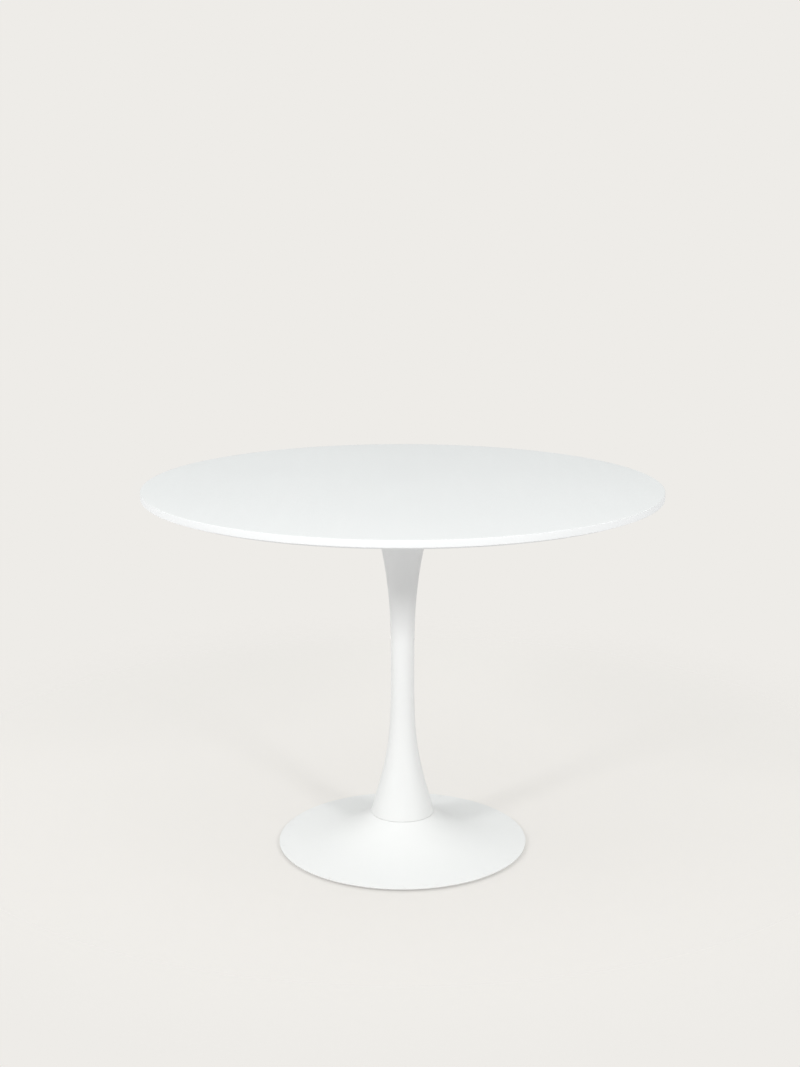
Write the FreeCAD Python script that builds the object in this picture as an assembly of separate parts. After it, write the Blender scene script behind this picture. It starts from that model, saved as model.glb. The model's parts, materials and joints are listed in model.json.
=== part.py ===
import FreeCAD, Part
import os
from math import cos, pi, sin, tan

# Round pedestal table: a lacquered board on a spun steel column and dished base, drawn together
# by one long tie rod. Millimetres, +Z up, origin on the floor under the column's axis.

# ---- Overall sizes
TOP_DIAMETER = 1000.0
TABLE_HEIGHT = 730.0
BASE_DIAMETER = 495.0

# ---- Top board
TOP_THICKNESS = 18.0
EDGE_BAND = 13.0            # upright part of the board's edge
BEVEL_WIDTH = 14.0          # how far the bevel runs in under the board
TOP_ARRIS = 1.0             # rounding of the upper edge
LOW_ARRIS = 0.6             # rounding where the edge turns into the bevel

# ---- Fixing of the top board
PLATE_DIAMETER = 280.0
PLATE_THICKNESS = 5.0
PLATE_ROUNDING = 1.0
PLATE_SCREWS = 6
PLATE_SCREW_EDGE = 22.0     # screw centre to the plate's edge
SCREW_RADIUS = 3.0
SCREW_LENGTH = 16.0
SCREW_HEAD_RADIUS = 5.5
SCREW_HEAD_HEIGHT = 3.3
SCREW_HEAD_ROUNDING = 1.6
SCREW_SOCKET = 4.0          # across the flats of the key's socket
SCREW_SOCKET_DEPTH = 2.0
WASHER_RADIUS = 7.5
WASHER_THICKNESS = 1.2
INSERT_RADIUS = 4.5
INSERT_LENGTH = 12.0
INSERT_HOLE_SPARE = 1.0     # depth of the hole beyond the insert

# ---- Column
COLUMN_WALL = 1.5
COLUMN_HEAD_RADIUS = 71.0
COLUMN_WAIST_RADIUS = 23.0
COLUMN_WAIST_HEIGHT = 385.0
COLUMN_FOOT_RADIUS = 62.5
HEAD_FLARE = 2.5            # powers of the two flares: the higher, the later the flare opens
FOOT_FLARE = 4.3
FOOT_FULLNESS = 2.4         # how soon the foot's flare starts before it straightens again
HEAD_DISC_THICKNESS = 6.0
FOOT_DISC_THICKNESS = 6.0

# ---- Tie rod, its hub and its nuts
ROD_RADIUS = 6.0
HUB_RADIUS = 18.0
HUB_LENGTH = 25.0
HUB_THREAD_DEPTH = 20.0
HUB_ROUNDING = 1.5
ROD_HUB_SPARE = 2.0         # thread left over above the rod's end
NUT_FLATS = 19.0
NUT_HEIGHT = 10.0
SPRING_WASHER_RADIUS = 10.5
SPRING_WASHER_THICKNESS = 3.0
SPRING_WASHER_SPLIT = 2.0
CLAMP_WASHER_RADIUS = 20.0
CLAMP_WASHER_THICKNESS = 4.0
ROD_TAIL = 4.0              # rod standing out of its nut

# ---- Base
CROWN_HEIGHT = 64.0
CROWN_OVERHANG = 0.5        # crown's edge beyond the column's foot
RIM_HEIGHT = 7.5
RIM_GAP = 5.0               # floor to the underside of the rim
RIM_LIP = 4.0
RIM_ROUNDING = 1.0
BASE_WALL = 2.0
BASE_FLARE = 3.6
RIM_SHARE = 0.32            # part of the base's rise that is a plain cone
JOINT_RING_THICKNESS = 1.0
JOINT_RING_RECESS = 0.8     # ring's edge back from the column's foot
JOINT_RING_WIDTH = 14.0

# ---- Ballast and bottom plate
WEIGHT_WEB = 17.0           # iron between the crown and the nut's pocket
WEIGHT_POCKET_RADIUS = 26.0
WEIGHT_BOSS_GAP = 8.0       # top face of the ballast in from the crown's edge
WEIGHT_GAP = 1.5
BOTTOM_PLATE_THICKNESS = 4.0
BOTTOM_PLATE_RECESS = 1.0   # plate's underside above the rim's
BOTTOM_PLATE_GAP = 1.0
BOTTOM_SCREWS = 6
BOTTOM_SCREW_RADIUS = 2.5
BOTTOM_SCREW_HEAD_RADIUS = 5.0
BOTTOM_SCREW_HEAD_HEIGHT = 2.7
BOTTOM_SCREW_LENGTH = 12.0
BOTTOM_SCREW_LAND = 0.2      # upright edge of the countersunk head
BOTTOM_SCREW_SOCKET = 3.0
BOTTOM_SCREW_SOCKET_DEPTH = 1.6
FIRST_BOTTOM_SCREW_ANGLE = 15.0

# ---- Levelling glides
GLIDES = 4
FIRST_GLIDE_ANGLE = 45.0
PAD_RADIUS = 14.0
PAD_TOP_RADIUS = 11.5
PAD_HEIGHT = 3.8
PAD_EDGE = 0.7
PAD_SOCKET_DEPTH = 2.2
NECK_RADIUS = 3.0
FLANGE_FLATS = 13.0
FLANGE_THICKNESS = 1.8
STEM_RADIUS = 4.0
STEM_HEIGHT = 15.0          # top of the stem over the floor when screwed right in
STEM_HEADROOM = 0.8
STEM_CHAMFER = 0.8
BUSH_RADIUS = 6.0
BUSH_FLANGE_RADIUS = 9.0
BUSH_FLANGE_THICKNESS = 2.0
BUSH_HEIGHT = 7.0
GLIDE_WEIGHT_GAP = 5.0      # bush's flange to the ballast

# ---- Thread ends, tapped holes and cuts
THREAD_CHAMFER = 1.0
TAP_SPARE = 1.0             # tapped hole beyond its screw
CUT_SPARE = 1.0             # how far a cutting shape stands out of the face it cuts

# ---- Clearances
THREAD_FIT = 0.05           # radial, a screw in its thread
PRESS_FIT = 0.1             # radial, a piece let into its seat
HOLE_FIT = 0.3              # radial, a screw or rod through a plain hole
SEAT_GAP = 0.15             # under a turning flange

# ---- Heights and radii that follow
plate_top = TABLE_HEIGHT - TOP_THICKNESS
column_head = plate_top - PLATE_THICKNESS
column_foot = CROWN_HEIGHT + JOINT_RING_THICKNESS
plate_screw_circle = PLATE_DIAMETER / 2 - PLATE_SCREW_EDGE
base_radius = BASE_DIAMETER / 2
crown_radius = COLUMN_FOOT_RADIUS + CROWN_OVERHANG
crown_under = CROWN_HEIGHT - BASE_WALL
pocket_ceiling = crown_under - WEIGHT_WEB
nut_bottom = pocket_ceiling - CLAMP_WASHER_THICKNESS - SPRING_WASHER_THICKNESS - NUT_HEIGHT
hub_bottom = column_head - HUB_LENGTH
rod_top = hub_bottom + HUB_THREAD_DEPTH - ROD_HUB_SPARE
bottom_plate_under = RIM_GAP + BOTTOM_PLATE_RECESS
bottom_plate_top = bottom_plate_under + BOTTOM_PLATE_THICKNESS


# ---- Outlines that several pieces share
def column_radius(height):
    """Outer radius of the column: a slim waist that opens towards the head and the foot."""
    if height >= COLUMN_WAIST_HEIGHT:
        share = (height - COLUMN_WAIST_HEIGHT) / (column_head - COLUMN_WAIST_HEIGHT)
        opening = share ** HEAD_FLARE
        return COLUMN_WAIST_RADIUS + (COLUMN_HEAD_RADIUS - COLUMN_WAIST_RADIUS) * opening
    share = (COLUMN_WAIST_HEIGHT - height) / (COLUMN_WAIST_HEIGHT - column_foot)
    opening = share ** FOOT_FLARE * (1 + FOOT_FULLNESS * (1 - share))
    return COLUMN_WAIST_RADIUS + (COLUMN_FOOT_RADIUS - COLUMN_WAIST_RADIUS) * opening


def base_height(radius):
    """Height of the base's upper face: a shallow cone at the rim that sweeps up to the crown."""
    share = (base_radius - radius) / (base_radius - crown_radius)
    rise = RIM_SHARE * share + (1 - RIM_SHARE) * share ** BASE_FLARE
    return RIM_HEIGHT + (CROWN_HEIGHT - RIM_HEIGHT) * rise


def radius_under_base(height):
    """Radius at which the underside of the base's sheet is at a height, found by halving."""
    low, high = crown_radius, base_radius
    while high - low > 0.001:
        middle = (low + high) / 2
        if base_height(middle) - BASE_WALL > height:
            low = middle
        else:
            high = middle
    return low


glide_circle = radius_under_base(STEM_HEIGHT + STEM_HEADROOM) - STEM_RADIUS
weight_radius = glide_circle - BUSH_FLANGE_RADIUS - GLIDE_WEIGHT_GAP
bottom_plate_radius = radius_under_base(bottom_plate_top + BOTTOM_PLATE_GAP)
bottom_screw_circle = (WEIGHT_POCKET_RADIUS + weight_radius) / 2


# ---- Building blocks
def at(radius, height):
    return FreeCAD.Vector(radius, 0, height)


def curve(function, start, end, steps=14, swap=False):
    """Smooth edge through a formula's values from start to end."""
    places = [start + (end - start) * i / steps for i in range(steps + 1)]
    points = [at(x, function(x)) if swap else at(function(x), x) for x in places]
    spline = Part.BSplineCurve()
    spline.interpolate(points)
    return spline.toShape()


def path(corners):
    """Straight edges through (radius, height) corners; a third value rounds that corner."""
    edges = []
    last = at(*corners[0][:2])
    for before, corner, after in zip(corners, corners[1:], corners[2:] + [None]):
        point = at(*corner[:2])
        if after is None or len(corner) < 3:
            edges.append(Part.makeLine(last, point))
            last = point
            continue
        back = (at(*before[:2]) - point).normalize()
        ahead = (at(*after[:2]) - point).normalize()
        half = back.getAngle(ahead) / 2
        setback = corner[2] / tan(half)
        start, end = point + back * setback, point + ahead * setback
        middle = point + (back + ahead).normalize() * (corner[2] / sin(half) - corner[2])
        edges += [Part.makeLine(last, start), Part.Arc(start, middle, end).toShape()]
        last = end
    return edges


def turned(edges):
    """Solid turned about the axis from the edges of a closed half section, in any order."""
    face = Part.Face(Part.Wire(Part.__sortEdges__(edges)))
    solid = face.revolve(FreeCAD.Vector(), FreeCAD.Vector(0, 0, 1), 360)
    return solid if solid.Volume > 0 else solid.reversed()


def turned_path(corners):
    return turned(path(corners + [corners[0][:2]]))


def ring(inner, outer, bottom, top):
    return turned_path([(inner, bottom), (outer, bottom), (outer, top), (inner, top)])


def hexagon(flats, bottom, top):
    corner = flats / 2 / cos(pi / 6)
    points = [FreeCAD.Vector(corner * cos(i * pi / 3), corner * sin(i * pi / 3), bottom)
              for i in range(7)]
    prism = Part.Face(Part.makePolygon(points)).extrude(FreeCAD.Vector(0, 0, top - bottom))
    chamfer = (corner - flats / 2) * tan(pi / 6)
    crowned = turned_path([(0, bottom), (flats / 2, bottom), (corner, bottom + chamfer),
                           (corner, top - chamfer), (flats / 2, top), (0, top)])
    return prism.common(crowned)


def placed(shape, circle, degrees):
    copy = shape.copy()
    copy.translate(FreeCAD.Vector(circle, 0, 0))
    copy.rotate(FreeCAD.Vector(), FreeCAD.Vector(0, 0, 1), degrees)
    return copy


def around(shape, circle, count, first=0):
    """The same piece repeated evenly on a circle."""
    return Part.makeCompound([placed(shape, circle, first + i * 360 / count) for i in range(count)])


def at_top_screws(shape):
    return around(shape, plate_screw_circle, PLATE_SCREWS)


def at_bottom_screws(shape):
    return around(shape, bottom_screw_circle, BOTTOM_SCREWS, FIRST_BOTTOM_SCREW_ANGLE)


def at_glides(shape):
    return around(shape, glide_circle, GLIDES, FIRST_GLIDE_ANGLE)


# ---- Top board and what holds it
def tabletop():
    radius = TOP_DIAMETER / 2
    band_bottom = TABLE_HEIGHT - EDGE_BAND
    board = turned_path([(0, plate_top), (radius - BEVEL_WIDTH, plate_top),
                         (radius, band_bottom, LOW_ARRIS), (radius, TABLE_HEIGHT, TOP_ARRIS),
                         (0, TABLE_HEIGHT)])
    hole_top = plate_top + INSERT_LENGTH + INSERT_HOLE_SPARE
    hole = ring(0, INSERT_RADIUS + PRESS_FIT, plate_top, hole_top)
    return board.cut(at_top_screws(hole))


def top_inserts():
    bore = SCREW_RADIUS + THREAD_FIT
    return at_top_screws(ring(bore, INSERT_RADIUS, plate_top, plate_top + INSERT_LENGTH))


def top_plate():
    radius = PLATE_DIAMETER / 2
    plate = turned_path([(0, column_head), (radius, column_head, PLATE_ROUNDING),
                         (radius, plate_top, PLATE_ROUNDING), (0, plate_top)])
    return plate.cut(at_top_screws(ring(0, SCREW_RADIUS + HOLE_FIT, column_head, plate_top)))


def top_washers():
    bottom = column_head - WASHER_THICKNESS
    return at_top_screws(ring(SCREW_RADIUS + HOLE_FIT, WASHER_RADIUS, bottom, column_head))


def top_screws():
    seat = column_head - WASHER_THICKNESS
    bottom = seat - SCREW_HEAD_HEIGHT
    tip = seat + SCREW_LENGTH
    screw = turned_path([(0, bottom), (SCREW_HEAD_RADIUS, bottom, SCREW_HEAD_ROUNDING),
                         (SCREW_HEAD_RADIUS, seat), (SCREW_RADIUS, seat),
                         (SCREW_RADIUS, tip - THREAD_CHAMFER), (SCREW_RADIUS - THREAD_CHAMFER, tip),
                         (0, tip)])
    socket = hexagon(SCREW_SOCKET, bottom - CUT_SPARE, bottom + SCREW_SOCKET_DEPTH)
    return at_top_screws(screw.cut(socket))


def plate_hub():
    hub = turned_path([(0, hub_bottom), (HUB_RADIUS, hub_bottom, HUB_ROUNDING),
                       (HUB_RADIUS, column_head), (0, column_head)])
    return hub.cut(ring(0, ROD_RADIUS + THREAD_FIT, hub_bottom, hub_bottom + HUB_THREAD_DEPTH))


# ---- Column
def column_shell():
    def inner(height):
        return column_radius(height) - COLUMN_WALL
    edges = [curve(column_radius, column_foot, COLUMN_WAIST_HEIGHT),
             curve(column_radius, COLUMN_WAIST_HEIGHT, column_head),
             curve(inner, column_foot, COLUMN_WAIST_HEIGHT),
             curve(inner, COLUMN_WAIST_HEIGHT, column_head)]
    for height in (column_foot, column_head):
        edges.append(Part.makeLine(at(inner(height), height), at(column_radius(height), height)))
    return turned(edges)


def column_disc(bore, bottom, top):
    """Disc welded inside the column, its edge following the wall."""
    low, high = (column_radius(z) - COLUMN_WALL - PRESS_FIT for z in (bottom, top))
    return turned_path([(bore, bottom), (low, bottom), (high, top), (bore, top)])


def column_head_disc():
    return column_disc(HUB_RADIUS + HOLE_FIT, column_head - HEAD_DISC_THICKNESS, column_head)


def column_foot_disc():
    return column_disc(ROD_RADIUS + HOLE_FIT, column_foot, column_foot + FOOT_DISC_THICKNESS)


def joint_ring():
    outer = COLUMN_FOOT_RADIUS - JOINT_RING_RECESS
    return ring(outer - JOINT_RING_WIDTH, outer, CROWN_HEIGHT, column_foot)


# ---- Tie rod and its fasteners
def tie_rod():
    bottom = nut_bottom - ROD_TAIL
    tip = ROD_RADIUS - THREAD_CHAMFER
    return turned_path([(0, bottom), (tip, bottom), (ROD_RADIUS, bottom + THREAD_CHAMFER),
                        (ROD_RADIUS, rod_top - THREAD_CHAMFER), (tip, rod_top), (0, rod_top)])


def nut(bottom):
    bore = ring(0, ROD_RADIUS + THREAD_FIT, bottom, bottom + NUT_HEIGHT)
    return hexagon(NUT_FLATS, bottom, bottom + NUT_HEIGHT).cut(bore)


def hub_lock_nut():
    return nut(hub_bottom - NUT_HEIGHT)


def clamp_washer():
    bottom = pocket_ceiling - CLAMP_WASHER_THICKNESS
    return ring(ROD_RADIUS + HOLE_FIT, CLAMP_WASHER_RADIUS, bottom, pocket_ceiling)


def spring_washer():
    bottom = nut_bottom + NUT_HEIGHT
    washer = ring(ROD_RADIUS + HOLE_FIT, SPRING_WASHER_RADIUS, bottom, bottom + SPRING_WASHER_THICKNESS)
    split = Part.makeBox(SPRING_WASHER_RADIUS + CUT_SPARE, SPRING_WASHER_SPLIT,
                         SPRING_WASHER_THICKNESS, FreeCAD.Vector(0, -SPRING_WASHER_SPLIT / 2, bottom))
    return washer.cut(split)


def rod_nut():
    return nut(nut_bottom)


# ---- Base
def base_shell():
    def under(radius):
        return base_height(radius) - BASE_WALL
    lip = base_radius - RIM_LIP
    edge = base_radius - RIM_ROUNDING
    bore = ROD_RADIUS + HOLE_FIT
    edges = [curve(base_height, crown_radius, edge, swap=True),
             curve(under, crown_radius, lip, swap=True)]
    edges += path([(edge, base_height(edge)), (base_radius, RIM_HEIGHT, RIM_ROUNDING / 2),
                   (base_radius, RIM_GAP, RIM_ROUNDING), (lip, RIM_GAP), (lip, under(lip))])
    edges += path([(crown_radius, CROWN_HEIGHT), (bore, CROWN_HEIGHT), (bore, crown_under),
                   (crown_radius, crown_under)])
    return turned(edges)


def base_weight():
    """Iron ballast under the sheet, with a pocket from below for the tie rod's nut."""
    def top(radius):
        return base_height(radius) - BASE_WALL - WEIGHT_GAP
    boss = crown_radius - WEIGHT_BOSS_GAP
    bore = ROD_RADIUS + HOLE_FIT
    edges = [curve(top, crown_radius, weight_radius, swap=True)]
    edges += path([(crown_radius, top(crown_radius)), (boss, top(crown_radius)), (boss, crown_under),
                   (bore, crown_under), (bore, pocket_ceiling), (WEIGHT_POCKET_RADIUS, pocket_ceiling),
                   (WEIGHT_POCKET_RADIUS, bottom_plate_top), (weight_radius, bottom_plate_top),
                   (weight_radius, top(weight_radius))])
    hole_top = bottom_plate_under + BOTTOM_SCREW_LENGTH + TAP_SPARE
    hole = ring(0, BOTTOM_SCREW_RADIUS + THREAD_FIT, bottom_plate_top, hole_top)
    return turned(edges).cut(at_bottom_screws(hole))


def countersink(grow):
    """Body of a countersunk screw, or of the hole that takes it when grown by a clearance."""
    shank, head = BOTTOM_SCREW_RADIUS + grow, BOTTOM_SCREW_HEAD_RADIUS + grow
    under = bottom_plate_under
    return turned_path([(0, under), (head, under), (head, under + BOTTOM_SCREW_LAND),
                        (shank, under + BOTTOM_SCREW_HEAD_HEIGHT), (shank, under + BOTTOM_SCREW_LENGTH),
                        (0, under + BOTTOM_SCREW_LENGTH)])


def bottom_plate():
    plate = ring(0, bottom_plate_radius, bottom_plate_under, bottom_plate_top)
    bush_hole = ring(0, BUSH_RADIUS + PRESS_FIT, bottom_plate_under, bottom_plate_top)
    return plate.cut(at_bottom_screws(countersink(PRESS_FIT))).cut(at_glides(bush_hole))


def bottom_screws():
    under = bottom_plate_under
    socket = hexagon(BOTTOM_SCREW_SOCKET, under - CUT_SPARE, under + BOTTOM_SCREW_SOCKET_DEPTH)
    return at_bottom_screws(countersink(0).cut(socket))


def glide_bushes():
    top = bottom_plate_under + BUSH_HEIGHT
    flange_top = bottom_plate_top + BUSH_FLANGE_THICKNESS
    bore = STEM_RADIUS + THREAD_FIT
    bush = turned_path([(bore, bottom_plate_under), (BUSH_RADIUS, bottom_plate_under),
                        (BUSH_RADIUS, bottom_plate_top), (BUSH_FLANGE_RADIUS, bottom_plate_top),
                        (BUSH_FLANGE_RADIUS, flange_top), (BUSH_RADIUS, flange_top),
                        (BUSH_RADIUS, top), (bore, top)])
    return at_glides(bush)


# ---- Levelling glides: a threaded stem that turns in a pad
def glide_pad():
    socket = NECK_RADIUS + THREAD_FIT
    floor = PAD_HEIGHT - PAD_SOCKET_DEPTH
    return turned_path([(0, 0), (PAD_RADIUS, 0, PAD_EDGE), (PAD_RADIUS, PAD_HEIGHT / 2, PAD_EDGE),
                        (PAD_TOP_RADIUS, PAD_HEIGHT), (socket, PAD_HEIGHT), (socket, floor), (0, floor)])


def glide_stem():
    flange_under = PAD_HEIGHT + SEAT_GAP
    flange_top = flange_under + FLANGE_THICKNESS
    neck_bottom = PAD_HEIGHT - PAD_SOCKET_DEPTH + SEAT_GAP
    stem = turned_path([(0, neck_bottom), (NECK_RADIUS, neck_bottom), (NECK_RADIUS, flange_top),
                        (STEM_RADIUS, flange_top), (STEM_RADIUS, STEM_HEIGHT - STEM_CHAMFER),
                        (STEM_RADIUS - STEM_CHAMFER, STEM_HEIGHT), (0, STEM_HEIGHT)])
    return stem.fuse(hexagon(FLANGE_FLATS, flange_under, flange_top)).removeSplitter()


def glides():
    nodes = {}
    for i in range(GLIDES):
        degrees = FIRST_GLIDE_ANGLE + i * 360 / GLIDES
        nodes["glide_pad_%d" % (i + 1)] = placed(glide_pad(), glide_circle, degrees)
        nodes["glide_stem_%d" % (i + 1)] = placed(glide_stem(), glide_circle, degrees)
    return nodes


PIECES = [tabletop, top_inserts, top_plate, top_washers, top_screws, plate_hub,
          column_shell, column_head_disc, column_foot_disc, joint_ring,
          tie_rod, hub_lock_nut, clamp_washer, spring_washer, rod_nut,
          base_shell, base_weight, bottom_plate, bottom_screws, glide_bushes]

os.makedirs("parts", exist_ok=True)
nodes = {piece.__name__: piece() for piece in PIECES}
nodes.update(glides())
for name, shape in nodes.items():
    solids = shape.Solids
    assert solids and all(s.isValid() and s.Volume > 0 for s in solids), name
    shape = solids[0] if len(solids) == 1 else Part.makeCompound(solids)
    shape.exportStep("parts/%s.step" % name)
    print("%-18s %2d solids %10.1f cm3" % (name, len(solids), shape.Volume / 1000))
print("glides at r = %.1f, ballast r = %.1f, bottom plate r = %.1f"
      % (glide_circle, weight_radius, bottom_plate_radius))
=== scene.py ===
import json
from math import cos, pi, radians, sin, tan

import bpy
from mathutils import Matrix, Vector


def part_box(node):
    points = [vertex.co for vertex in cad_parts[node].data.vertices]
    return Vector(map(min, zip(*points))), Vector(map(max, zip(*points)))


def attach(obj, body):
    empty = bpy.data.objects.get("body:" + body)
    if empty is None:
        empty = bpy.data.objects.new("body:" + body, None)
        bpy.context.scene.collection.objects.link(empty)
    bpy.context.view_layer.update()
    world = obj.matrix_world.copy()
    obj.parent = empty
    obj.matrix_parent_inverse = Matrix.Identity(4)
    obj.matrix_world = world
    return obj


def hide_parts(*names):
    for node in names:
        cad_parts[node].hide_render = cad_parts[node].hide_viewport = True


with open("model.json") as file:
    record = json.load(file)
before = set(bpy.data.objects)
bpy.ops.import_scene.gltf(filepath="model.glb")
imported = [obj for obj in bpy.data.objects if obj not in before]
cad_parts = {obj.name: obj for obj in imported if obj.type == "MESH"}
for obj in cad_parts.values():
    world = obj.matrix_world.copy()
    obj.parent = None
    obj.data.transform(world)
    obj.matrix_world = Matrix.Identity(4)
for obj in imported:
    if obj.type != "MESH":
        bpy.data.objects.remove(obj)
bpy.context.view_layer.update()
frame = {"nodes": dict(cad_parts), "record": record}

# A white round pedestal table: lacquered board, waisted column and dished base, all turned about
# one upright axis. Metres, +Z up, origin on the floor under the axis.
MM = 0.001

# ---- Sizes that the frame doesn't say: the construction's own, and the softer edges, moulding
# marks and threads that only these meshes have
EDGE_BAND = 13 * MM
BEVEL_WIDTH = 14 * MM
ARRIS = 1.0 * MM
COLUMN_WALL = 1.5 * MM
COLUMN_LIP = 0.35 * MM
COLUMN_WAIST_RADIUS = 23 * MM
COLUMN_WAIST_HEIGHT = 385 * MM
COLUMN_FOOT_RADIUS = 62.5 * MM
HEAD_FLARE, FOOT_FLARE, FOOT_FULLNESS = 2.5, 4.3, 2.4
CROWN_RADIUS = 63 * MM
CROWN_BORE = 6.3 * MM
CROWN_ROUNDING = 0.8 * MM
RIM_HEIGHT = 7.5 * MM
RIM_LIP = 4 * MM
RIM_ROUNDING = 1 * MM
BASE_WALL = 2 * MM
BASE_FLARE, RIM_SHARE = 3.6, 0.32
RING_WIDTH, RING_ROUNDING = 14 * MM, 0.3 * MM
GLIDES = 4
PAD_RADIUS, PAD_TOP_RADIUS, PAD_EDGE = 14 * MM, 11.5 * MM, 0.7 * MM
PAD_SOCKET_RADIUS, PAD_SOCKET_FLOOR = 3.05 * MM, 1.6 * MM
PAD_SOFTENING = 0.15 * MM
# The grip groove under the pad, the gate mark's recess at its middle, and the dish on its top
GATE_RADIUS = 0.9 * MM
GROOVE_INNER, GROOVE_OUTER, GROOVE_DEPTH, GROOVE_SLOPE = 8.4 * MM, 10.6 * MM, 0.4 * MM, 0.5 * MM
DISH_INNER, DISH_OUTER, DISH_DEPTH, DISH_SLOPE = 5.0 * MM, 10.4 * MM, 0.45 * MM, 0.8 * MM
NECK_RADIUS = 3 * MM
FLANGE_FLATS, FLANGE_THICKNESS, FLANGE_GAP = 13 * MM, 1.8 * MM, 0.15 * MM
THREAD_CREST, THREAD_ROOT, THREAD_PITCH = 4 * MM, 3.4 * MM, 1.25 * MM
# The thread's flat root and its flank, as shares of half a turn; the rest is its flat crest
THREAD_FLAT, THREAD_FLANK = 0.12, 0.7
STEM_CHAMFER = 0.8 * MM

# ---- How finely the pieces are divided
SHARP_ANGLE = radians(30)
ON_AXIS = 1e-7
TABLE_SEGMENTS, PAD_SEGMENTS, STEM_SEGMENTS, FLOOR_SEGMENTS = 288, 96, 60, 64
ARC_STEPS, PAD_ARC_STEPS, RING_ARC_STEPS = 6, 4, 3
COLUMN_STEPS, BASE_STEPS, FLOOR_STEPS, STEPS_A_TURN = 96, 80, 24, 10
TOP_RINGS = (0.98, 0.9, 0.75, 0.5, 0.25)
CROWN_CROWDING = 1.3


def low(node):
    """A construction node's lowest corner."""
    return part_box(node)[0]


def high(node):
    """A construction node's highest corner."""
    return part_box(node)[1]


top_under, top_face = low("tabletop").z, high("tabletop").z
top_radius = high("tabletop").x
column_foot, column_head = low("column_shell").z, high("column_shell").z
head_radius = high("column_shell").x
crown_height, rim_gap = high("base_shell").z, low("base_shell").z
base_radius = high("base_shell").x
ring_radius = high("joint_ring").x


# ---- Meshes
def mesh_piece(name, points, faces):
    """A smooth-shaded piece with its sharp edges kept."""
    mesh = bpy.data.meshes.new(name)
    mesh.from_pydata([tuple(p) for p in points], [], faces)
    mesh.validate()
    mesh.shade_smooth()
    mesh.set_sharp_from_angle(angle=SHARP_ANGLE)
    piece = bpy.data.objects.new(name, mesh)
    bpy.context.scene.collection.objects.link(piece)
    return piece


def turned(name, profile, segments=TABLE_SEGMENTS, centre=(0, 0), closed=True):
    """Surface turned about an upright axis from (radius, height) points, listed anticlockwise
    as seen with the radius to the right. Points on the axis become a single pole, and a radius
    may be a function of the angle."""
    points, rows = [], []
    for radius, height in profile:
        if not callable(radius) and radius < ON_AXIS:
            rows.append([len(points)] * segments)
            points.append((centre[0], centre[1], height))
            continue
        rows.append(list(range(len(points), len(points) + segments)))
        for i in range(segments):
            angle = 2 * pi * i / segments
            reach = radius(angle) if callable(radius) else radius
            points.append((centre[0] + reach * cos(angle), centre[1] + reach * sin(angle), height))
    faces = []
    joins = list(zip(rows, rows[1:]))
    if closed:
        joins.append((rows[-1], rows[0]))
    for first, second in joins:
        if first[0] == first[1] and second[0] == second[1]:
            continue
        for i in range(segments):
            j = (i + 1) % segments
            corners = [first[i], first[j], second[j], second[i]]
            faces.append([c for k, c in enumerate(corners) if c != corners[k - 1]])
    return mesh_piece(name, points, faces)


def rounded(corners, steps=ARC_STEPS):
    """Profile points through (radius, height, rounding) corners, each rounded by an arc."""
    points = []
    count = len(corners)
    for k, corner in enumerate(corners):
        here = Vector(corner[:2])
        if len(corner) < 3:
            points.append(tuple(here))
            continue
        back = (Vector(corners[k - 1][:2]) - here).normalized()
        ahead = (Vector(corners[(k + 1) % count][:2]) - here).normalized()
        half = back.angle(ahead) / 2
        centre = here + (back + ahead).normalized() * (corner[2] / sin(half))
        spoke = here + back * (corner[2] / tan(half)) - centre
        turn = (pi - 2 * half) * (1 if back.cross(ahead) < 0 else -1)
        for i in range(steps + 1):
            spun = spoke.copy()
            spun.rotate(Matrix.Rotation(turn * i / steps, 2))
            points.append(tuple(centre + spun))
    return points


def column_radius(height):
    """The trumpet's outer radius: one flare over the waist, a fuller one under it."""
    if height >= COLUMN_WAIST_HEIGHT:
        share = (height - COLUMN_WAIST_HEIGHT) / (column_head - COLUMN_WAIST_HEIGHT)
        return COLUMN_WAIST_RADIUS + (head_radius - COLUMN_WAIST_RADIUS) * share ** HEAD_FLARE
    share = (COLUMN_WAIST_HEIGHT - height) / (COLUMN_WAIST_HEIGHT - column_foot)
    opening = share ** FOOT_FLARE * (1 + FOOT_FULLNESS * (1 - share))
    return COLUMN_WAIST_RADIUS + (COLUMN_FOOT_RADIUS - COLUMN_WAIST_RADIUS) * opening


def base_height(radius):
    """The dish's upper face: a straight rise from the rim and a steep one into the crown."""
    share = (base_radius - radius) / (base_radius - CROWN_RADIUS)
    rise = RIM_SHARE * share + (1 - RIM_SHARE) * share ** BASE_FLARE
    return RIM_HEIGHT + (crown_height - RIM_HEIGHT) * rise


def spread(start, end, steps):
    """Even values from start to end, with both."""
    return [start + (end - start) * i / steps for i in range(steps + 1)]


def make_tabletop():
    """Round board: flat face, upright edge band and a shallow bevel underneath."""
    band_bottom = top_face - EDGE_BAND
    rings = [(top_radius * share, top_face) for share in TOP_RINGS]
    outline = [(0, top_under), (top_radius - BEVEL_WIDTH, top_under, ARRIS),
               (top_radius, band_bottom, ARRIS), (top_radius, top_face, ARRIS)]
    return turned("tabletop_board", rounded(outline) + rings + [(0, top_face)], closed=False)


def make_column():
    """Spun trumpet, open at both mouths, with a broken edge round its foot."""
    heights = spread(column_foot, column_head, COLUMN_STEPS)
    lip_top = column_foot + COLUMN_LIP
    outer = [(column_radius(z), z) for z in heights[1:-1]]
    inner = [(column_radius(z) - COLUMN_WALL, z) for z in reversed(heights)]
    foot = [(COLUMN_FOOT_RADIUS - COLUMN_LIP, column_foot), (column_radius(lip_top), lip_top)]
    head = [(column_radius(column_head), column_head)]
    return turned("column_trumpet", foot + outer + head + inner)


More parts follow.
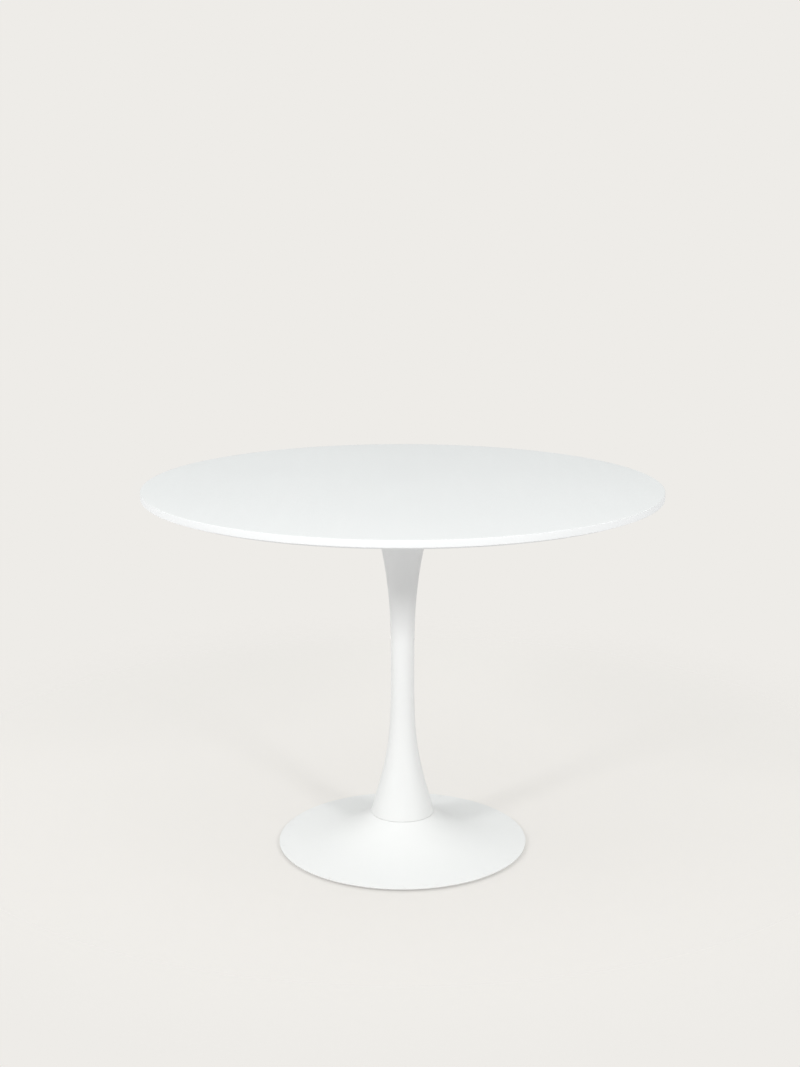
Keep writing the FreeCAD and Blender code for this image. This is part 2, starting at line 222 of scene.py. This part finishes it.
def make_base():
    """Spun dish with a rounded rim and crown, bored for the tie rod."""
    edge, lip = base_radius - RIM_ROUNDING, base_radius - RIM_LIP
    radii = [CROWN_RADIUS + (edge - CROWN_RADIUS) * share ** CROWN_CROWDING
             for share in spread(0, 1, BASE_STEPS)]
    upper = [(r, base_height(r)) for r in reversed(radii)]
    under = [(r, base_height(r) - BASE_WALL) for r in radii if r < lip]
    rim = rounded([(lip, rim_gap), (base_radius, rim_gap, RIM_ROUNDING),
                   (base_radius, RIM_HEIGHT, RIM_ROUNDING / 2), upper[0]])
    crown_edge = rounded([upper[-2], (CROWN_RADIUS, crown_height, CROWN_ROUNDING),
                          (CROWN_BORE, crown_height)])
    under_crown = crown_height - BASE_WALL
    profile = rim + upper[1:-2] + crown_edge[1:] + [(CROWN_BORE, under_crown)] + under
    return turned("base_dish", profile)


def make_joint_ring():
    """Thin ring that shows as a fine line between column and base."""
    inner = ring_radius - RING_WIDTH
    foot, crown = low("joint_ring").z, high("joint_ring").z
    outline = [(inner, foot), (ring_radius, foot, RING_ROUNDING),
               (ring_radius, crown, RING_ROUNDING), (inner, crown)]
    return turned("joint_ring_moulded", rounded(outline, RING_ARC_STEPS))


def middle(node):
    """Where a piece's upright axis stands."""
    return (low(node).x + high(node).x) / 2, (low(node).y + high(node).y) / 2


def make_pad(number):
    """Moulded pad: grip groove and gate mark underneath, shallow dish round the neck on top."""
    node = "glide_pad_%d" % number
    top = high(node).z
    groove, dish, soft = GROOVE_DEPTH, top - DISH_DEPTH, PAD_SOFTENING
    outline = [(0, groove), (GATE_RADIUS, groove, soft / 2), (GATE_RADIUS + GROOVE_SLOPE, 0, soft),
               (GROOVE_INNER, 0, soft), (GROOVE_INNER + GROOVE_SLOPE, groove, soft / 2),
               (GROOVE_OUTER - GROOVE_SLOPE, groove, soft / 2), (GROOVE_OUTER, 0, soft),
               (PAD_RADIUS, 0, PAD_EDGE), (PAD_RADIUS, top / 2, PAD_EDGE),
               (PAD_TOP_RADIUS, top, 2 * soft), (DISH_OUTER, top, soft),
               (DISH_OUTER - DISH_SLOPE, dish, soft), (DISH_INNER + DISH_SLOPE, dish, soft),
               (DISH_INNER, top, soft), (PAD_SOCKET_RADIUS, top, soft),
               (PAD_SOCKET_RADIUS, PAD_SOCKET_FLOOR), (0, PAD_SOCKET_FLOOR)]
    profile = rounded(outline, PAD_ARC_STEPS)
    return turned("glide_pad_moulded_%d" % number, profile, PAD_SEGMENTS, middle(node), closed=False)


def make_stem(number):
    """Screwed stem with a right-hand thread, a hexagon flange for the spanner and a plain neck."""
    node = "glide_stem_%d" % number
    foot, tip = low(node).z, high(node).z
    flange_under = high("glide_pad_%d" % number).z + FLANGE_GAP
    flange_top = flange_under + FLANGE_THICKNESS
    inner = FLANGE_FLATS / 2

    def hexagon(angle):
        return inner / cos((angle + pi / 6) % (pi / 3) - pi / 6)

    def crowned(angle):
        return min(hexagon(angle), inner)

    def thread(height):
        limit = THREAD_CREST - max(0, height - (tip - STEM_CHAMFER))

        def radius(angle):
            turn = (height - flange_top) / THREAD_PITCH - angle / (2 * pi)
            flank = min(1, max(0, (abs(turn % 1 * 2 - 1) - THREAD_FLAT) / THREAD_FLANK))
            return min(THREAD_ROOT + (THREAD_CREST - THREAD_ROOT) * flank, limit)
        return radius

    bevel = (inner / cos(pi / 6) - inner) * tan(pi / 6)
    steps = round((tip - flange_top) / THREAD_PITCH * STEPS_A_TURN)
    profile = [(0, foot), (NECK_RADIUS, foot), (NECK_RADIUS, flange_under), (crowned, flange_under),
               (hexagon, flange_under + bevel), (hexagon, flange_top - bevel), (crowned, flange_top)]
    profile += [(thread(z), z) for z in spread(flange_top, tip, steps)]
    profile.append((0, tip))
    return turned("glide_stem_threaded_%d" % number, profile, STEM_SEGMENTS, middle(node), closed=False)


# ---- Shader arithmetic
class Socket:
    """A shader node's output that takes part in Python arithmetic."""

    def __init__(self, paint, socket):
        self.paint, self.socket = paint, socket

    def math(self, operation, first, second):
        return self.paint.node("Math", {"operation": operation}, {0: first, 1: second})

    def __add__(self, other):
        return self.math("ADD", self, other)

    def __sub__(self, other):
        return self.math("SUBTRACT", self, other)

    def __rsub__(self, other):
        return self.math("SUBTRACT", other, self)

    def __mul__(self, other):
        return self.math("MULTIPLY", self, other)

    __radd__ = __add__
    __rmul__ = __mul__


class Paint:
    """One node material while it is being mixed."""

    def __init__(self, name):
        self.material = bpy.data.materials.new(name)
        self.material.use_nodes = True
        self.tree = self.material.node_tree
        self.tree.nodes.clear()

    @classmethod
    def of_tree(cls, tree):
        """A node tree that already exists, emptied."""
        paint = cls.__new__(cls)
        paint.tree = tree
        tree.nodes.clear()
        return paint

    def node(self, kind, settings=None, inputs=None, output=0):
        """A node of a type, with its settings set first and then its sockets' values or links."""
        made = self.tree.nodes.new("ShaderNode" + kind)
        for name, value in (settings or {}).items():
            if name == "stops":
                for element, (place, colour) in zip(self.stops(made, len(value)), value):
                    element.position, element.color = place, (*colour, 1)
            else:
                setattr(made, name, value)
        for name, value in (inputs or {}).items():
            if isinstance(value, Socket):
                self.tree.links.new(value.socket, made.inputs[name])
            else:
                made.inputs[name].default_value = value
        return Socket(self, made.outputs[output]) if made.outputs else made

    @staticmethod
    def stops(ramp, count):
        """A colour ramp's stops, with new ones up to count."""
        while len(ramp.color_ramp.elements) < count:
            ramp.color_ramp.elements.new(1.0)
        return ramp.color_ramp.elements

    def place(self):
        """Position on the piece in metres."""
        return self.node("TexCoord", output="Object")

    def from_axis(self):
        """Distance from the table's axis in metres."""
        flat = self.node("VectorMath", {"operation": "MULTIPLY"}, {0: self.place(), 1: (1, 1, 0)})
        return self.node("VectorMath", {"operation": "LENGTH"}, {0: flat}, output="Value")

    def height(self):
        """Height over the floor in metres."""
        return self.node("SeparateXYZ", {}, {0: self.place()}, output="Z")

    def noise(self, scale, detail, roughness=0.5, stretch=(1, 1, 1)):
        """Soft noise from 0 to 1 with a feature size of about 1 / scale metres."""
        where = self.node("VectorMath", {"operation": "MULTIPLY"}, {0: self.place(), 1: stretch})
        return self.node("TexNoise", {}, {"Vector": where, "Scale": scale, "Detail": detail,
                                          "Roughness": roughness})

    def step(self, value, start, end):
        """0 below start, 1 above end, smooth between."""
        return self.node("MapRange", {"interpolation_type": "SMOOTHSTEP"},
                         {"Value": value, "From Min": start, "From Max": end})

    def blend(self, factor, first, second):
        """The first colour at 0, the second at 1; the first may be another node's."""
        if type(first) is tuple:
            first = (*first, 1)
        return self.node("Mix", {"data_type": "RGBA"}, {0: factor, 6: first, 7: (*second, 1)}, output=2)

    def bump(self, height, distance, strength):
        """Normals for a height of distance metres."""
        return self.node("Bump", {}, {"Height": height, "Distance": distance, "Strength": strength})

    def finish(self, **sockets):
        """The surface shader, with its sockets given by name, and the material's output."""
        inputs = {name.replace("_", " "): value for name, value in sockets.items()}
        for name, value in inputs.items():
            if type(value) is tuple:
                inputs[name] = (*value, 1)
        shader = self.node("BsdfPrincipled", {}, inputs)
        self.node("OutputMaterial", {}, {"Surface": shader})
        return self.material


def white_lacquer():
    """Sprayed satin lacquer: faint orange peel, a breath of tone, wipe marks on the face, and an
    edge that hands have polished, with a few shallow nicks."""
    paint = Paint("white_lacquer")
    tone = paint.noise(3.0, 2)
    peel = paint.noise(420, 2, 0.45)
    wipe = paint.step(paint.noise(60, 4, 0.65, stretch=(1, 0.08, 1)), 0.45, 0.75)
    edge = paint.step(paint.from_axis(), top_radius - 3 * MM, top_radius - 0.4 * MM)
    nick = edge * paint.step(paint.noise(240, 2, 0.6), 0.77, 0.81)
    clean = paint.blend(tone, (0.812, 0.824, 0.820), (0.833, 0.842, 0.837))
    colour = paint.blend(nick * 0.5, clean, (0.74, 0.73, 0.70))
    rough = 0.42 + 0.05 * tone + 0.05 * wipe - 0.06 * edge + 0.10 * nick
    height = peel * (1 - 0.85 * edge) - 4.0 * nick
    return paint.finish(Base_Color=colour, Roughness=rough, Specular_IOR_Level=0.35,
                        Normal=paint.bump(height, 0.00001, 0.5))


def white_powder_coat():
    """Baked powder coat on steel: fine even grain, slow ripples left by the spinning, and shoe
    scuffs with a little dust low down near the rim."""
    paint = Paint("white_powder_coat")
    tone = paint.noise(5.0, 2)
    grain = paint.noise(1400, 2, 0.55)
    ripple = paint.noise(38, 2, 0.5, stretch=(0.3, 0.3, 1))
    near_rim = paint.step(paint.from_axis(), base_radius - 30 * MM, base_radius - 2 * MM)
    low_down = 1 - paint.step(paint.height(), 0.012, 0.03)
    scuff = near_rim * low_down * paint.step(paint.noise(55, 5, 0.7, stretch=(1, 1, 4)), 0.56, 0.72)
    clean = paint.blend(tone, (0.825, 0.833, 0.825), (0.847, 0.853, 0.845))
    colour = paint.blend(scuff * 0.3, clean, (0.66, 0.645, 0.62))
    rough = 0.54 + 0.06 * tone + 0.05 * grain + 0.12 * scuff
    height = grain * 0.6 + ripple * 0.4
    return paint.finish(Base_Color=colour, Roughness=rough, Specular_IOR_Level=0.3,
                        Normal=paint.bump(height, 0.00005, 0.45))


def black_powder_coat():
    """Coarse black powder coat with patches of floor dust."""
    paint = Paint("black_powder_coat")
    grain = paint.noise(900, 3, 0.6)
    dust = paint.step(paint.noise(40, 5, 0.7), 0.55, 0.8)
    colour = paint.blend(dust, (0.020, 0.020, 0.021), (0.050, 0.049, 0.047))
    rough = 0.55 + 0.2 * dust
    return paint.finish(Base_Color=colour, Roughness=rough, Normal=paint.bump(grain, 0.0001, 0.6))


def zinc_steel():
    """Bright zinc plate with a cool cast, fine scratches and duller patches."""
    paint = Paint("zinc_steel")
    cloud = paint.noise(90, 4, 0.6)
    scratch = paint.noise(700, 3, 0.6, stretch=(1, 1, 0.12))
    colour = paint.blend(cloud, (0.58, 0.60, 0.64), (0.74, 0.74, 0.73))
    rough = 0.24 + 0.2 * cloud + 0.08 * scratch
    return paint.finish(Base_Color=colour, Metallic=1.0, Roughness=rough,
                        Normal=paint.bump(scratch, 0.00004, 0.5))


def plain_steel():
    """Turned and welded steel, a little darker, with tool marks."""
    paint = Paint("plain_steel")
    cloud = paint.noise(45, 5, 0.65)
    marks = paint.noise(1200, 2, 0.5, stretch=(0.1, 0.1, 1))
    colour = paint.blend(cloud, (0.33, 0.33, 0.34), (0.48, 0.48, 0.48))
    rough = 0.38 + 0.22 * cloud
    return paint.finish(Base_Color=colour, Metallic=1.0, Roughness=rough,
                        Normal=paint.bump(marks, 0.00005, 0.6))


def ballast_iron():
    """Sand-cast iron, dark, with a bloom of rust."""
    paint = Paint("ballast_iron")
    cast = paint.noise(260, 5, 0.65)
    bloom = paint.step(paint.noise(18, 4, 0.6), 0.5, 0.75)
    colour = paint.blend(bloom, (0.050, 0.050, 0.053), (0.110, 0.075, 0.058))
    rough = 0.62 + 0.25 * bloom
    return paint.finish(Base_Color=colour, Metallic=0.35, Roughness=rough,
                        Normal=paint.bump(cast, 0.0005, 0.8))


def ring_plastic():
    """Fine-grained grey white plastic."""
    paint = Paint("ring_plastic")
    grain = paint.noise(1500, 2)
    colour = paint.blend(grain, (0.70, 0.70, 0.69), (0.78, 0.78, 0.77))
    return paint.finish(Base_Color=colour, Roughness=0.55 + 0.1 * grain,
                        Normal=paint.bump(grain, 0.00004, 0.5))


def pad_nylon():
    """Moulded nylon: dull grain, rubbed paler where it slides."""
    paint = Paint("pad_nylon")
    grain = paint.noise(1100, 3, 0.6)
    rub = paint.step(paint.noise(260, 4, 0.7), 0.5, 0.8)
    colour = paint.blend(rub, (0.022, 0.022, 0.024), (0.070, 0.069, 0.068))
    return paint.finish(Base_Color=colour, Roughness=0.45 + 0.25 * rub,
                        Normal=paint.bump(grain, 0.00006, 0.6))


FINISHES = (white_lacquer, white_powder_coat, black_powder_coat, zinc_steel, plain_steel,
            ballast_iron, ring_plastic, pad_nylon)
finishes = {make.__name__: make() for make in FINISHES}
slot_of = {part["node"]: part["material_slot"] for part in frame["record"]["subparts"]}
for name, node in frame["nodes"].items():
    node.data.materials.clear()
    node.data.materials.append(finishes[slot_of[name]])


def stands_for(piece, node, body="table"):
    """A finer piece that takes a construction node's place, body and finish."""
    piece.data.materials.append(finishes[slot_of[node]])
    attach(piece, body)
    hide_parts(node)


stands_for(make_tabletop(), "tabletop")
stands_for(make_column(), "column_shell")
stands_for(make_base(), "base_shell")
stands_for(make_joint_ring(), "joint_ring")
for number in range(1, GLIDES + 1):
    stands_for(make_pad(number), "glide_pad_%d" % number, "pad_%d" % number)
    stands_for(make_stem(number), "glide_stem_%d" % number, "stem_%d" % number)


# ---- Studio
BACKDROP = (0.855, 0.838, 0.807)
PAPER = (0.715, 0.692, 0.662)
FLOOR_RADIUS = 4.0
# The floor fades out round a point behind the table, where its shadows fall
FADE_CENTRE = (0, 0.45, 0)
FADE_START, FADE_END = 0.75, 1.35
# Its glow grows with depth, because the softboxes light it less behind the table
PAPER_SHARE, GLOW_STRENGTH = 0.56, 1.135
GLOW_NEAR, GLOW_FAR = (0.838, 0.822, 0.792), (0.930, 0.912, 0.878)
GLOW_START, GLOW_END = -0.6, 1.3
CAMERA_PLACE, CAMERA_AIM = (0, -3.120, 1.304), (-0.0051, 0, 0.634)
CAMERA_LENS, CAMERA_SENSOR = 55.55, 36
LIGHT_AIM_HEIGHT = 0.45
# What the room gives by height of its direction, from straight down to straight up
ROOM_LIGHT = ((0.48, (0.820, 0.815, 0.830)), (0.52, (0.335, 0.332, 0.326)),
              (0.65, (0.335, 0.332, 0.326)), (0.80, (0.930, 0.948, 0.948)))


def make_floor():
    """Pale floor that melts into the backdrop. It glows only for the eye, and gives back no more
    light than paper would."""
    rings = [(radius, 0) for radius in spread(FLOOR_RADIUS, 0, FLOOR_STEPS)]
    floor = turned("studio_floor", rings, FLOOR_SEGMENTS, closed=False)
    paint = Paint("studio_floor_pale")
    distance = paint.node("VectorMath", {"operation": "DISTANCE"}, {0: paint.place(), 1: FADE_CENTRE},
                          output="Value")
    fade = paint.step(distance, FADE_START, FADE_END)
    seen = paint.node("LightPath", output="Is Camera Ray")
    depth = paint.node("SeparateXYZ", {}, {0: paint.place()}, output="Y")
    far = paint.step(depth, GLOW_START, GLOW_END)
    glow = paint.node("Emission", {}, {"Color": paint.blend(far, GLOW_NEAR, GLOW_FAR),
                                       "Strength": GLOW_STRENGTH})
    paper = paint.node("BsdfDiffuse", {}, {"Color": (*PAPER, 1)})
    lit = paint.node("MixShader", {}, {0: seen * (1 - PAPER_SHARE), 1: paper, 2: glow})
    clear = paint.node("BsdfTransparent")
    surface = paint.node("MixShader", {}, {0: fade, 1: lit, 2: clear})
    paint.node("OutputMaterial", {}, {"Surface": surface})
    floor.data.materials.append(paint.material)


def make_world():
    """The backdrop that shows, and the light that the room gives."""
    world = bpy.data.worlds.new("studio_air")
    world.use_nodes = True
    paint = Paint.of_tree(world.node_tree)
    direction = paint.node("TexCoord", output="Generated")
    rise = paint.node("SeparateXYZ", {}, {0: direction}, output="Z") * 0.5 + 0.5
    colour = paint.node("ValToRGB", {"stops": ROOM_LIGHT}, {0: rise})
    given = paint.node("Background", {}, {"Color": colour})
    seen = paint.node("Background", {}, {"Color": (*BACKDROP, 1)})
    ray = paint.node("LightPath", output="Is Camera Ray")
    light = paint.node("MixShader", {}, {0: ray, 1: given, 2: seen})
    paint.node("OutputWorld", {}, {"Surface": light})
    bpy.context.scene.world = world


def softbox(name, azimuth, elevation, distance, size, power, glare=False):
    """Square area light; azimuth 0 is the camera's side, positive to its right. Without glare it
    gives light and shadow but no reflection of its own, as through crossed polarisers."""
    turn, rise = radians(azimuth), radians(elevation)
    toward = Vector((sin(turn) * cos(rise), -cos(turn) * cos(rise), sin(rise)))
    data = bpy.data.lights.new(name, "AREA")
    data.shape, data.size, data.energy = "SQUARE", size, power
    lamp = bpy.data.objects.new(name, data)
    lamp.location = Vector((0, 0, LIGHT_AIM_HEIGHT)) + toward * distance
    lamp.rotation_euler = (-toward).to_track_quat("-Z", "Y").to_euler()
    lamp.visible_camera = False
    lamp.visible_glossy = glare
    bpy.context.scene.collection.objects.link(lamp)


def make_camera():
    """Standing height, level with the middle of the top, tilted down at the table."""
    data = bpy.data.cameras.new("studio_camera")
    data.lens, data.sensor_width = CAMERA_LENS, CAMERA_SENSOR
    camera = bpy.data.objects.new("studio_camera", data)
    camera.location = CAMERA_PLACE
    toward = Vector(CAMERA_AIM) - Vector(CAMERA_PLACE)
    camera.rotation_euler = toward.to_track_quat("-Z", "Y").to_euler()
    bpy.context.scene.collection.objects.link(camera)
    bpy.context.scene.camera = camera


make_floor()
make_world()
softbox("softbox_left", azimuth=-44, elevation=27, distance=3.7, size=0.55, power=41)
softbox("softbox_right", azimuth=32, elevation=27, distance=3.7, size=0.55, power=41.5)
softbox("softbox_side", azimuth=-95, elevation=14, distance=4.0, size=2.2, power=11, glare=True)
make_camera()
bpy.context.scene.view_settings.view_transform = "Standard"
